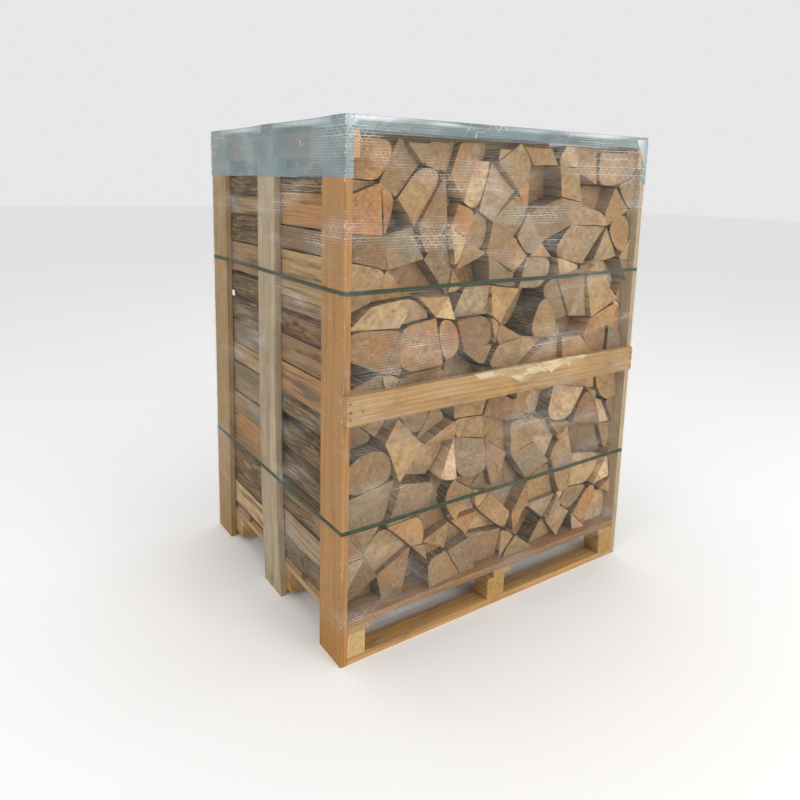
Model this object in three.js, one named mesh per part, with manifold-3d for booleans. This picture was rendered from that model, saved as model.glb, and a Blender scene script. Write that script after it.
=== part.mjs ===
// A pallet crate of split firewood: a block pallet, upright side posts, top beams and mid rails
// that hold two rows of half-metre logs, tied with two straps under a film cover and a net wrap.
// Millimetres, +Z up. +X runs along the long side, -Y is the front, where the log ends show.
// The origin is the centre of the footprint, on the floor.

import * as THREE from "three";
import { mergeVertices } from "three/addons/utils/BufferGeometryUtils.js";
import Module from "manifold-3d";

// ---- driving dimensions -------------------------------------------------------------------

const CRATE = { width: 1216, depth: 1000, height: 1565 };
const GAP = 0.4; // clearance left between pieces that touch
const ARRIS = 1.5; // sawn edges are broken by this much

const RUNNER = { depth: 65, thick: 22 };
const BLOCK = { height: 75, widths: [60, 74, 73] };
const STRINGER = { thick: 20, widths: [80, 74, 80], midShift: 27 };
const DECK = { count: 7, width: 118, thick: 22 };

const POST = { width: 130, thick: 22 };
const MID_POST = { centre: 507, footCentre: 472, bowStart: 650 }; // distances from the front
const BEAM = { width: 76, thick: 30.6 };
const TOP_RAIL = { thick: 20, height: 77 };
const MID_RAIL = { bottom: 740, height: 84, thick: 22, shortBy: 20 };

const LOGS = { recess: 14, rowGap: 8, top: 1524 };
const STRAP = { heights: [418, 1103], width: 13, thick: 1 };
const COVER = { thick: 1.2, sideHem: 1402, frontHem: 1527, cornerFlap: 24 };
const NET = { thick: 1.4, standOff: 2, hem: 100, top: 1560, rampAtRail: 58, courses: 10, strand: 4 };

// ---- places worked out from them ----------------------------------------------------------

const { width: W, depth: D, height: H } = CRATE;
const LEFT = -W / 2;
const RIGHT = W / 2;
const FRONT = -D / 2;
const BACK = D / 2;

const innerLeft = LEFT + POST.thick + GAP;
const innerRight = RIGHT - POST.thick - GAP;

const blockBottom = RUNNER.thick + GAP;
const blockTop = blockBottom + BLOCK.height;
const stringerTop = blockTop + GAP + STRINGER.thick;
const deckBottom = stringerTop + GAP;
const deckTop = deckBottom + DECK.thick;
const postTop = H - BEAM.thick - GAP;

const columns = ["left", "middle", "right"];
const rows = ["front", "middle", "rear"];
const rowSpans = {
  front: [FRONT, FRONT + RUNNER.depth],
  middle: [FRONT + 380, FRONT + 560],
  rear: [BACK - 200, BACK],
};
const runnerCentres = { front: FRONT + RUNNER.depth / 2, middle: FRONT + 470, rear: BACK - RUNNER.depth / 2 };

// ---- materials ----------------------------------------------------------------------------

const finish = (color, roughness, metalness = 0) => new THREE.MeshStandardMaterial({ color, roughness, metalness });
const postWood = finish(0xc8925a, 0.75);
const paleWood = finish(0xb9a68a, 0.8);
const palletWood = finish(0xa97f4c, 0.8);
const railWood = finish(0xb08a50, 0.75);
const logWood = finish(0xbd9a6c, 0.85);
const strapPlastic = finish(0x2e4a30, 0.45);
const coverFilm = finish(0x8fa4b2, 0.25);
const netYarn = finish(0xe8e8e4, 0.5);

// ---- shapes -------------------------------------------------------------------------------

const part = new THREE.Group();
part.name = "firewood_crate";

function addMesh(name, geometry, material) {
  const mesh = new THREE.Mesh(geometry, material);
  mesh.name = name;
  part.add(mesh);
  return mesh;
}

// A rectangle with broken corners, centred on the origin.
function sawnSection(across, up) {
  const a = across / 2;
  const b = up / 2;
  const corners = [
    [-a + ARRIS, -b], [a - ARRIS, -b], [a, -b + ARRIS], [a, b - ARRIS],
    [a - ARRIS, b], [-a + ARRIS, b], [-a, b - ARRIS], [-a, -b + ARRIS],
  ];
  return new THREE.Shape(corners.map(([x, y]) => new THREE.Vector2(x, y)));
}

// A straight board between two corners, sawn square at its ends; its grain runs along one axis.
function addBoard(name, grain, [x0, x1], [y0, y1], [z0, z1], material) {
  const size = { x: x1 - x0, y: y1 - y0, z: z1 - z0 };
  const section = {
    x: () => sawnSection(size.z, size.y),
    y: () => sawnSection(size.x, size.z),
    z: () => sawnSection(size.x, size.y),
  }[grain]();
  const geometry = new THREE.ExtrudeGeometry(section, { depth: size[grain], bevelEnabled: false });
  geometry.translate(0, 0, -size[grain] / 2);
  if (grain === "x") geometry.rotateY(Math.PI / 2);
  if (grain === "y") geometry.rotateX(Math.PI / 2);
  const mesh = addMesh(name, geometry, material);
  mesh.position.set((x0 + x1) / 2, (y0 + y1) / 2, (z0 + z1) / 2);
  return mesh;
}

// An outline in the X-Z plane pushed along Y from yFrom to yTo.
function addAlongDepth(name, outline, yFrom, yTo, material) {
  const shape = new THREE.Shape(outline.map(([x, z]) => new THREE.Vector2(x, z)));
  const geometry = new THREE.ExtrudeGeometry(shape, { depth: yTo - yFrom, bevelEnabled: false });
  geometry.rotateX(Math.PI / 2);
  geometry.translate(0, yTo, 0);
  return addMesh(name, geometry, material);
}

const wasm = await Module();
wasm.setup();

function toManifold(geometry) {
  geometry.deleteAttribute("normal");
  geometry.deleteAttribute("uv");
  const merged = mergeVertices(geometry);
  const mesh = new wasm.Mesh({
    numProp: 3,
    vertProperties: new Float32Array(merged.attributes.position.array),
    triVerts: new Uint32Array(merged.index.array),
  });
  return new wasm.Manifold(mesh);
}

function fromManifold(solid) {
  const { vertProperties, triVerts } = solid.getMesh();
  const geometry = new THREE.BufferGeometry();
  geometry.setAttribute("position", new THREE.BufferAttribute(new Float32Array(vertProperties), 3));
  geometry.setIndex(new THREE.BufferAttribute(new Uint32Array(triVerts), 1));
  const flat = geometry.toNonIndexed();
  flat.computeVertexNormals();
  return flat;
}

function boxBetween([x0, x1], [y0, y1], [z0, z1]) {
  const geometry = new THREE.BoxGeometry(x1 - x0, y1 - y0, z1 - z0);
  geometry.translate((x0 + x1) / 2, (y0 + y1) / 2, (z0 + z1) / 2);
  return toManifold(geometry);
}

// ---- pallet: runner boards, blocks, stringer boards, deck boards ---------------------------

const columnSpans = {
  left: [innerLeft, innerLeft + BLOCK.widths[0]],
  middle: [-BLOCK.widths[1] / 2 - 8, BLOCK.widths[1] / 2 - 8],
  right: [innerRight - BLOCK.widths[2], innerRight],
};
const stringerSpans = {
  left: [innerLeft, innerLeft + STRINGER.widths[0]],
  middle: columnSpans.middle.map((x) => x + STRINGER.midShift),
  right: [innerRight - STRINGER.widths[2], innerRight],
};

for (const row of rows) {
  const y = runnerCentres[row];
  const span = [y - RUNNER.depth / 2, y + RUNNER.depth / 2];
  addBoard(`runner_${row}`, "x", [innerLeft, innerRight], span, [0, RUNNER.thick], palletWood);
  for (const column of columns) {
    addBoard(`block_${column}_${row}`, "y", columnSpans[column], rowSpans[row], [blockBottom, blockTop], palletWood);
  }
}

for (const column of columns) {
  const span = stringerSpans[column];
  addBoard(`stringer_${column}`, "y", span, [FRONT, BACK], [blockTop + GAP, stringerTop], palletWood);
}

const deckPitch = (D - DECK.width) / (DECK.count - 1);
for (let i = 0; i < DECK.count; i += 1) {
  const y = FRONT + i * deckPitch;
  addBoard(`deck_board_${i + 1}`, "x", [innerLeft, innerRight], [y, y + DECK.width], [deckBottom, deckTop], palletWood);
}

// ---- side frames: posts to the floor, and a top rail inside each row of posts ---------------

// The middle post is a bowed board: straight above, and its foot drawn towards the front.
function bowedPostGeometry() {
  const half = POST.width / 2;
  const centre = FRONT + MID_POST.centre;
  const foot = FRONT + MID_POST.footCentre;
  const shape = new THREE.Shape();
  shape.moveTo(foot - half, 0);
  shape.lineTo(foot + half, 0);
  shape.quadraticCurveTo(centre + half, MID_POST.bowStart / 2, centre + half, MID_POST.bowStart);
  shape.lineTo(centre + half, postTop);
  shape.lineTo(centre - half, postTop);
  shape.lineTo(centre - half, MID_POST.bowStart);
  shape.quadraticCurveTo(centre - half, MID_POST.bowStart / 2, foot - half, 0);
  const geometry = new THREE.ExtrudeGeometry(shape, { depth: POST.thick, bevelEnabled: false, curveSegments: 6 });
  // the outline's axes become Y and Z, and its thickness runs along X
  geometry.rotateY(Math.PI / 2).rotateX(Math.PI / 2);
  return geometry;
}

for (const side of ["left", "right"]) {
  const span = side === "left" ? [LEFT, LEFT + POST.thick] : [RIGHT - POST.thick, RIGHT];
  addBoard(`post_${side}_front`, "z", span, [FRONT, FRONT + POST.width], [0, postTop], postWood);
  addBoard(`post_${side}_rear`, "z", span, [BACK - POST.width, BACK], [0, postTop], postWood);
  addMesh(`post_${side}_middle`, bowedPostGeometry(), paleWood).position.x = span[0];

  const rail = side === "left" ? [innerLeft, innerLeft + TOP_RAIL.thick] : [innerRight - TOP_RAIL.thick, innerRight];
  addBoard(`top_rail_${side}`, "y", rail, [FRONT, BACK], [postTop - TOP_RAIL.height, postTop], postWood);
}

// ---- beams across the top, and rails nailed to the front and back edges of the posts --------

const beamSpans = {
  front: [FRONT, FRONT + BEAM.width],
  middle: [FRONT + 500 - BEAM.width / 2, FRONT + 500 + BEAM.width / 2],
  rear: [BACK - BEAM.width, BACK],
};
for (const row of rows) {
  addBoard(`cross_beam_${row}`, "x", [LEFT, RIGHT], beamSpans[row], [H - BEAM.thick, H], railWood);
}

const railHeights = [MID_RAIL.bottom, MID_RAIL.bottom + MID_RAIL.height];
const railFront = FRONT - GAP - MID_RAIL.thick;
const railBack = BACK + GAP + MID_RAIL.thick;
addBoard("mid_rail_front", "x", [LEFT, RIGHT - MID_RAIL.shortBy], [railFront, FRONT - GAP], railHeights, railWood);
addBoard("mid_rail_back", "x", [LEFT + MID_RAIL.shortBy, RIGHT], [BACK + GAP, railBack], railHeights, railWood);

// ---- the two rows of stacked logs, notched round the top rails ------------------------------

const logBottom = deckTop + GAP;
const railFoot = postTop - TOP_RAIL.height - GAP;
const insideRails = TOP_RAIL.thick + GAP;
const stackOutline = [
  [innerLeft, logBottom], [innerRight, logBottom],
  [innerRight, railFoot], [innerRight - insideRails, railFoot],
  [innerRight - insideRails, LOGS.top], [innerLeft + insideRails, LOGS.top],
  [innerLeft + insideRails, railFoot], [innerLeft, railFoot],
];
addAlongDepth("logs_front_row", stackOutline, FRONT + LOGS.recess, -LOGS.rowGap / 2, logWood);
addAlongDepth("logs_back_row", stackOutline, LOGS.rowGap / 2, BACK - LOGS.recess, logWood);

// ---- straps round the crate -----------------------------------------------------------------

function ringGeometry(inset, thick, zFrom, zTo) {
  const outer = new THREE.Shape();
  const hole = new THREE.Path();
  const rectangle = (path, grow) => {
    path.moveTo(LEFT - grow, FRONT - grow);
    path.lineTo(RIGHT + grow, FRONT - grow);
    path.lineTo(RIGHT + grow, BACK + grow);
    path.lineTo(LEFT - grow, BACK + grow);
    path.closePath();
  };
  rectangle(outer, inset + thick);
  rectangle(hole, inset);
  outer.holes.push(hole);
  const geometry = new THREE.ExtrudeGeometry(outer, { depth: zTo - zFrom, bevelEnabled: false });
  geometry.translate(0, 0, zFrom);
  return geometry;
}

["lower", "upper"].forEach((which, i) => {
  const z = STRAP.heights[i];
  const ring = ringGeometry(GAP, STRAP.thick, z - STRAP.width / 2, z + STRAP.width / 2);
  addMesh(`strap_${which}`, ring, strapPlastic);
});

// ---- film cover: over the beams, down the sides, and a short hem at front and back ----------

function coverGeometry() {
  const outer = GAP + COVER.thick;
  const below = COVER.sideHem - 50;
  const slab = boxBetween([LEFT - outer, RIGHT + outer], [FRONT - outer, BACK + outer], [COVER.sideHem, H + outer]);
  const inside = boxBetween([LEFT - GAP, RIGHT + GAP], [FRONT - GAP, BACK + GAP], [below, H + GAP]);
  const cutX = [LEFT + COVER.cornerFlap, RIGHT - COVER.cornerFlap];
  const window = boxBetween(cutX, [FRONT - 2 * outer, BACK + 2 * outer], [below, COVER.frontHem]);
  return fromManifold(slab.subtract(inside).subtract(window));
}
addMesh("top_cover", coverGeometry(), coverFilm);

// ---- net wrap: a thin open sleeve round everything, tented over the mid rails ---------------

function sleeveGeometry() {
  const railProud = GAP + MID_RAIL.thick + NET.standOff;
  const levels = [
    [NET.hem, NET.standOff],
    [railHeights[0] - NET.rampAtRail, NET.standOff],
    [railHeights[0], railProud],
    [railHeights[1], railProud],
    [railHeights[1] + NET.rampAtRail, NET.standOff],
    [NET.top, NET.standOff],
  ];
  const positions = [];
  const addLoop = (z, growX, growY) => {
    positions.push(LEFT - growX, FRONT - growY, z, RIGHT + growX, FRONT - growY, z);
    positions.push(RIGHT + growX, BACK + growY, z, LEFT - growX, BACK + growY, z);
  };
  for (const [z, growY] of levels) {
    addLoop(z, NET.standOff + NET.thick, growY + NET.thick);
    addLoop(z, NET.standOff, growY);
  }
  const index = [];
  const quad = (a, b, c, d) => index.push(a, b, c, a, c, d);
  const outerAt = (level, corner) => level * 8 + (corner % 4);
  const innerAt = (level, corner) => level * 8 + 4 + (corner % 4);
  const last = levels.length - 1;
  for (let c = 0; c < 4; c += 1) {
    for (let i = 0; i < last; i += 1) {
      quad(outerAt(i, c), outerAt(i, c + 1), outerAt(i + 1, c + 1), outerAt(i + 1, c));
      quad(innerAt(i, c + 1), innerAt(i, c), innerAt(i + 1, c), innerAt(i + 1, c + 1));
    }
    quad(outerAt(0, c + 1), outerAt(0, c), innerAt(0, c), innerAt(0, c + 1));
    quad(outerAt(last, c), outerAt(last, c + 1), innerAt(last, c + 1), innerAt(last, c));
  }
  const geometry = new THREE.BufferGeometry();
  geometry.setAttribute("position", new THREE.Float32BufferAttribute(positions, 3));
  geometry.setIndex(index);
  return geometry;
}

// The sleeve is opened into level courses, tied by a strand at each corner and mid-side.
function netGeometry() {
  const reach = 2 * W;
  const pitch = (NET.top - NET.hem - NET.strand) / NET.courses;
  const half = NET.strand / 2;
  const alongX = [[LEFT + NET.strand, -half], [half, RIGHT - NET.strand]];
  const alongY = [[FRONT + NET.strand, -half], [half, BACK - NET.strand]];
  let net = toManifold(sleeveGeometry());
  for (let i = 0; i < NET.courses; i += 1) {
    const z0 = NET.hem + NET.strand + i * pitch;
    const zSpan = [z0, z0 + pitch - NET.strand];
    for (const span of alongX) net = net.subtract(boxBetween(span, [-reach, reach], zSpan));
    for (const span of alongY) net = net.subtract(boxBetween([-reach, reach], span, zSpan));
  }
  return fromManifold(net);
}
addMesh("net_wrap", netGeometry(), netYarn);

export default part;
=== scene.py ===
"""Looks for a pallet crate of split firewood: sawn boards, stacked logs, straps, film cover and net wrap."""

import math
import random

import bpy
import numpy as np
from mathutils import Matrix, Vector, noise
from mathutils.geometry import delaunay_2d_cdt


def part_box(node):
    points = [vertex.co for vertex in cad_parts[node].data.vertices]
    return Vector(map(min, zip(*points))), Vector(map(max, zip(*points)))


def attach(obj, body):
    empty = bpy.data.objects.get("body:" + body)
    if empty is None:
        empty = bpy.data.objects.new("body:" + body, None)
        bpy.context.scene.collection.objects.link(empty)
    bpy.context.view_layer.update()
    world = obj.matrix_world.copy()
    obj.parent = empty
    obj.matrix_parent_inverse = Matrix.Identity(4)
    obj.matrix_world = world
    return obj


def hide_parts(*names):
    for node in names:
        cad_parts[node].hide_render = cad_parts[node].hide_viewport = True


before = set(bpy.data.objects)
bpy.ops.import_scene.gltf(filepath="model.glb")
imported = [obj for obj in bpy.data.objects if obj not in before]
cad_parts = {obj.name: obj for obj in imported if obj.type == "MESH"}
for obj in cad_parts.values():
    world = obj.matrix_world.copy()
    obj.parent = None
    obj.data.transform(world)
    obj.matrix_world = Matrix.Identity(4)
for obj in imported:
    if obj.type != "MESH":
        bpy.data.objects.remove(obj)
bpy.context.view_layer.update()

# ---- sizes, in metres, taken from the frame ----

ROWS = ("front", "middle", "rear")

BEAM_LOW, BEAM_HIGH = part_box("cross_beam_front")
COVER_LOW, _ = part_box("top_cover")
NET_LOW, NET_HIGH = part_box("net_wrap")
RAIL_LOW, RAIL_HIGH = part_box("mid_rail_front")
TOP_RAIL_LOW, TOP_RAIL_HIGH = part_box("top_rail_left")

CRATE_LEFT, CRATE_RIGHT = BEAM_LOW[0], BEAM_HIGH[0]
CRATE_FRONT, CRATE_BACK = BEAM_LOW[1], -BEAM_LOW[1]
CRATE_TOP = BEAM_HIGH[2]


def depth_spans(start):
    """Where the pieces of the three rows lie along the depth."""
    return [tuple(corner[1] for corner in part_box(f"{start}_{row}")) for row in ROWS]


BEAMS = depth_spans("cross_beam")
POSTS = depth_spans("post_left")


# ---- objects ----


def new_object(name, data):
    item = bpy.data.objects.new(name, data)
    bpy.context.collection.objects.link(item)
    return item


def mesh_piece(name, points, faces, materials):
    mesh = bpy.data.meshes.new(name)
    mesh.from_pydata(points, [], faces)
    for material in materials:
        mesh.materials.append(material)
    return new_object(name, mesh)


def set_point_values(piece, label, values):
    """Gives every point of a piece a number: its own from values, or 0."""
    layer = piece.data.attributes.new(label, "FLOAT", "POINT")
    layer.data.foreach_set("value", [values.get(k, 0.0) for k in range(len(piece.data.vertices))])


def stand_for(piece, node):
    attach(piece, "root")
    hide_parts(node)


def loft_faces(ring, sections, closed=False):
    """Quads between each ring of points and the next."""
    faces = []
    for i in range(sections if closed else sections - 1):
        a, b = i * ring, (i + 1) % sections * ring
        for k in range(ring):
            m = (k + 1) % ring
            faces.append((a + k, b + k, b + m, a + m))
    return faces


# ---- camera, floor and light ----


def make_camera():
    camera = new_object("camera", bpy.data.cameras.new("camera"))
    camera.location = (-1.495, -2.035, 1.401)
    camera.rotation_euler = [math.radians(a) for a in (80.31, -1.22, -33.45)]
    camera.data.lens = 30.66
    camera.data.shift_x = 0.0162
    camera.data.shift_y = -0.1291
    camera.data.dof.use_dof = False
    bpy.context.scene.camera = camera


def add_area_light(name, location, target, size, power, color=(1, 1, 1)):
    light = new_object(name, bpy.data.lights.new(name, "AREA"))
    light.data.shape = "DISK"
    light.data.size = size
    light.data.energy = power
    light.data.color = color
    light.location = location
    aim = Vector(target) - Vector(location)
    light.rotation_euler = aim.to_track_quat("-Z", "Y").to_euler()


def make_studio():
    bpy.context.scene.view_settings.view_transform = "Standard"
    world = bpy.data.worlds.new("soft_white")
    world.use_nodes = True
    sky = world.node_tree.nodes["Background"].inputs
    sky["Color"].default_value = (1.0, 1.0, 1.0, 1.0)
    sky["Strength"].default_value = 0.8
    bpy.context.scene.world = world

    bpy.ops.mesh.primitive_plane_add(size=60)
    floor = bpy.context.object
    floor.name = "floor"
    pale, _, paint = new_material("pale_floor")
    paint["Base Color"].default_value = (0.93, 0.93, 0.93, 1.0)
    paint["Roughness"].default_value = 0.9
    floor.data.materials.append(pale)

    add_area_light("key", (1.2, -5.4, 2.7), (0.0, 0.0, 0.7), 3.0, 108, (1.0, 0.97, 0.93))
    add_area_light("fill", (-4.4, -1.6, 3.4), (0.0, 0.0, 1.4), 2.4, 29, (1.0, 0.98, 0.95))
    add_area_light("top", (0.0, 0.5, 5.0), (0.0, 0.0, 0.0), 3.0, 40)


# ---- node helpers ----


def linear(red, green, blue):
    """A colour given as 0 to 255 display values, made linear."""
    parts = [c / 255.0 for c in (red, green, blue)]
    return tuple(c / 12.92 if c <= 0.04045 else ((c + 0.055) / 1.055) ** 2.4 for c in parts) + (1.0,)


class Tree:
    """A node tree with short calls to add nodes and feed their sockets."""

    def __init__(self, node_tree):
        self.tree = node_tree

    def add(self, kind, feeds=None, **settings):
        node = self.tree.nodes.new(kind)
        for key, value in settings.items():
            setattr(node, key, value)
        for key, value in (feeds or {}).items():
            self.feed(node.inputs[key], value)
        return node

    def feed(self, socket, value):
        if isinstance(value, bpy.types.NodeSocket):
            self.tree.links.new(value, socket)
        else:
            socket.default_value = value

    def math(self, operation, a, b=0.0, clamp=False):
        return self.add("ShaderNodeMath", {0: a, 1: b}, operation=operation, use_clamp=clamp).outputs[0]

    def plus(self, a, b, clamp=False):
        return self.math("ADD", a, b, clamp)

    def minus(self, a, b):
        return self.math("SUBTRACT", a, b)

    def times(self, a, b):
        return self.math("MULTIPLY", a, b)

    def gap(self, a, b):
        """The distance between two numbers."""
        return self.math("ABSOLUTE", self.minus(a, b))

    def vector(self, operation, a, b):
        return self.add("ShaderNodeVectorMath", {0: a, 1: b}, operation=operation).outputs["Vector"]

    def scaled(self, vector, size):
        feeds = {0: vector, "Scale": size}
        return self.add("ShaderNodeVectorMath", feeds, operation="SCALE").outputs["Vector"]

    def length(self, vector):
        return self.add("ShaderNodeVectorMath", {0: vector}, operation="LENGTH").outputs["Value"]

    def stretch(self, place, scale):
        return self.vector("MULTIPLY", place, scale)

    def turned(self, place, **rotation):
        """A place turned about Y by an Angle, or about all axes by a Rotation."""
        kind = "Y_AXIS" if "Angle" in rotation else "EULER_XYZ"
        feeds = {"Vector": place, **rotation}
        return self.add("ShaderNodeVectorRotate", feeds, rotation_type=kind).outputs[0]

    def combine(self, x, y, z):
        return self.add("ShaderNodeCombineXYZ", {0: x, 1: y, 2: z}).outputs[0]

    def split(self, vector):
        return self.add("ShaderNodeSeparateXYZ", {0: vector}).outputs[:3]

    def object_place(self):
        return self.add("ShaderNodeTexCoord").outputs["Object"]

    def attribute(self, name, output):
        return self.add("ShaderNodeAttribute", attribute_name=name).outputs[output]

    def noise(self, place, scale, detail=4.0, roughness=0.55, distortion=0.0):
        """A noise from 0 to 1, of one size or, where scale has three parts, stretched along the axes."""
        if isinstance(scale, tuple):
            place, scale = self.stretch(place, scale), 1.0
        feeds = {"Vector": place, "Scale": scale, "Detail": detail, "Roughness": roughness}
        return self.add("ShaderNodeTexNoise", {**feeds, "Distortion": distortion}).outputs["Fac"]

    def ramp(self, value, low, high):
        feeds = {0: value, 1: low, 2: high, 3: 0.0, 4: 1.0}
        return self.add("ShaderNodeMapRange", feeds, interpolation_type="SMOOTHSTEP").outputs[0]

    def mix(self, factor, a, b):
        feeds = {"Factor": factor, 6: a, 7: b}
        return self.add("ShaderNodeMix", feeds, data_type="RGBA", blend_type="MIX").outputs[2]

    def tint(self, mask, strength, ground, colour):
        """A ground colour with another over it where the mask is, at a given strength."""
        return self.mix(self.times(mask, strength), ground, colour)

    def colours(self, factor, stops):
        node = self.add("ShaderNodeValToRGB", {0: factor})
        elements = node.color_ramp.elements
        while len(elements) < len(stops):
            elements.new(0.5)
        for element, (place, colour) in zip(elements, stops):
            element.position = place
            element.color = colour
        return node.outputs["Color"]


def new_group(name, inputs, outputs):
    """A shader node group with named sockets: returns it, its Tree, its inputs and its outputs."""
    group = bpy.data.node_groups.new(name, "ShaderNodeTree")
    for label, kind, default in inputs:
        socket = group.interface.new_socket(name=label, in_out="INPUT", socket_type=kind)
        if default is not None:
            socket.default_value = default
    for label, kind in outputs:
        group.interface.new_socket(name=label, in_out="OUTPUT", socket_type=kind)
    tree = Tree(group)
    entry = tree.add("NodeGroupInput")
    leave = tree.add("NodeGroupOutput")
    return group, tree, entry.outputs, leave.inputs


def new_material(name, roughness=None, specular=None):
    """A material: returns it, its Tree and the inputs of its shader."""
    material = bpy.data.materials.new(name)
    material.use_nodes = True
    inputs = material.node_tree.nodes["Principled BSDF"].inputs
    if roughness is not None:
        inputs["Roughness"].default_value = roughness
    if specular is not None:
        inputs["Specular IOR Level"].default_value = specular
    return material, Tree(material.node_tree), inputs


def add_bump(tree, shader, height, strength, distance):
    feeds = {"Height": height, "Strength": strength, "Distance": distance}
    tree.feed(shader["Normal"], tree.add("ShaderNodeBump", feeds).outputs[0])


def new_shape_tree(name, sizes):
    """A Geometry Nodes tree with named sizes and a seed: returns it, its Tree and its inputs."""
    group = bpy.data.node_groups.new(name, "GeometryNodeTree")
    group.interface.new_socket(name="Geometry", in_out="INPUT", socket_type="NodeSocketGeometry")
    for label, default in sizes.items():
        socket = group.interface.new_socket(name=label, in_out="INPUT", socket_type="NodeSocketFloat")
        socket.default_value = default
    seed = group.interface.new_socket(name="Seed", in_out="INPUT", socket_type="NodeSocketInt")
    seed.default_value = 1
    group.interface.new_socket(name="Geometry", in_out="OUTPUT", socket_type="NodeSocketGeometry")
    tree = Tree(group)
    return group, tree, tree.add("NodeGroupInput").outputs


def end_shape_tree(tree, geometry, material):
    whole = tree.add("GeometryNodeRealizeInstances", {"Geometry": geometry})
    painted = tree.add("GeometryNodeSetMaterial", {"Geometry": whole.outputs[0], "Material": material})
    tree.feed(tree.add("NodeGroupOutput").inputs[0], painted.outputs[0])


def build_scatter_tree(name, material, size_label, shape, rotation, size_range):
    """Puts a small shape on every point, each of a random size: the range is of numbers or of vectors."""
    group, t, given = new_shape_tree(name, {size_label: 0.001})
    kind, feeds = shape
    solid = t.add(kind, {"Radius": given[size_label], **feeds}).outputs["Mesh"]
    points = t.add("GeometryNodeMeshToPoints", {"Mesh": given["Geometry"]}).outputs[0]
    by_axis = isinstance(size_range[0], tuple)
    first, result = (0, 0) if by_axis else (2, 1)
    feeds = {first: size_range[0], first + 1: size_range[1], "Seed": given["Seed"]}
    size = t.add("FunctionNodeRandomValue", feeds, data_type="FLOAT_VECTOR" if by_axis else "FLOAT")
    feeds = {"Points": points, "Instance": solid, "Rotation": rotation, "Scale": size.outputs[result]}
    end_shape_tree(t, t.add("GeometryNodeInstanceOnPoints", feeds).outputs[0], material)
    return group


def run_tree(name, tree, values, spots=()):
    """Evaluates a Geometry Nodes tree on loose points and returns the result as a plain object."""
    base = bpy.data.meshes.new(name + "_carrier")
    base.from_pydata(list(spots), [], [])
    carrier = new_object(name + "_carrier", base)
    modifier = carrier.modifiers.new("nodes", "NODES")
    modifier.node_group = tree
    sockets = {s.name: s.identifier for s in tree.interface.items_tree if s.in_out == "INPUT"}
    for label, value in values.items():
        modifier[sockets[label]] = value
    bpy.context.view_layer.update()
    evaluated = carrier.evaluated_get(bpy.context.evaluated_depsgraph_get())
    mesh = bpy.data.meshes.new_from_object(evaluated)
    mesh.name = name
    piece = new_object(name, mesh)
    bpy.data.objects.remove(carrier)
    return piece


# ---- sawn boards ----


def build_sawn_wood():
    """Solid timber with its grain along X: growth layers round a far pith, fibres, saw marks and knots."""
    inputs = [
        ("Place", "NodeSocketVector", None),
        ("Pith", "NodeSocketVector", (0.0, 0.11, -0.07)),
        ("Early Wood", "NodeSocketColor", linear(214, 176, 128)),
        ("Late Wood", "NodeSocketColor", linear(170, 122, 74)),
        ("Weathering", "NodeSocketFloat", 0.2),
    ]
    outputs = [("Color", "NodeSocketColor"), ("Roughness", "NodeSocketFloat"), ("Height", "NodeSocketFloat")]
    group, t, given, out = new_group("sawn_wood", inputs, outputs)
    place = given["Place"]
    wander = t.noise(place, (1.3, 5.0, 5.0), 2.0)
    across = t.stretch(t.vector("SUBTRACT", place, given["Pith"]), (0.05, 1.0, 1.0))
    ring_distance = t.plus(t.length(across), t.times(wander, 0.045))

    # knots: stretched cells with a small dark eye, which also bend the layers round them
    knot_feeds = {"Vector": t.stretch(place, (2.1, 5.5, 5.5)), "Scale": 1.0, "Randomness": 1.0}
    knot = t.add("ShaderNodeTexVoronoi", knot_feeds).outputs["Distance"]
    knot_near = t.minus(1.0, t.ramp(knot, 0.03, 0.28))
    knot_eye = t.minus(1.0, t.ramp(knot, 0.045, 0.085))
    bent = t.plus(ring_distance, t.times(knot_near, 0.012))

    layers = t.ramp(t.math("SINE", t.times(bent, 620.0)), -0.6, 1.0)
    fibres = t.noise(place, (9.0, 420.0, 420.0), 5.0, 0.65)
    streaks = t.noise(place, (2.4, 70.0, 70.0), 3.0)
    tone = t.plus(t.plus(t.times(layers, 0.12), t.times(fibres, 0.46)), t.times(streaks, 0.66))
    wood = t.mix(t.ramp(tone, 0.28, 0.95), given["Early Wood"], given["Late Wood"])

    blotch = t.ramp(t.noise(t.stretch(place, (3.0, 9.0, 9.0)), 1.6), 0.42, 0.72)
    greyed = t.tint(blotch, given["Weathering"], wood, linear(132, 120, 104))
    stained = t.tint(knot_eye, 0.75, greyed, linear(92, 58, 34))
    haloed = t.tint(knot_near, 0.16, stained, linear(120, 72, 38))
    dirt = t.ramp(t.noise(place, (11.0, 26.0, 26.0), 5.0, 0.65), 0.5, 0.74)
    grime = t.plus(t.times(given["Weathering"], 0.75), 0.16)
    t.feed(out["Color"], t.tint(dirt, grime, haloed, linear(108, 78, 46)))

    # saw teeth leave bars across the grain
    saw = t.noise(t.stretch(place, (1.0, 0.12, 0.12)), 260.0, 2.0, 0.5)
    height = t.plus(t.times(fibres, 0.6), t.times(saw, 0.35))
    t.feed(out["Height"], t.minus(height, t.times(layers, 0.15)))
    t.feed(out["Roughness"], t.plus(0.62, t.times(fibres, 0.25)))
    return group


GRAIN_TURNS = {"x": (0.0, 0.0, 0.0), "y": (0.0, 0.0, -math.pi / 2), "z": (0.0, math.pi / 2, 0.0)}


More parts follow.
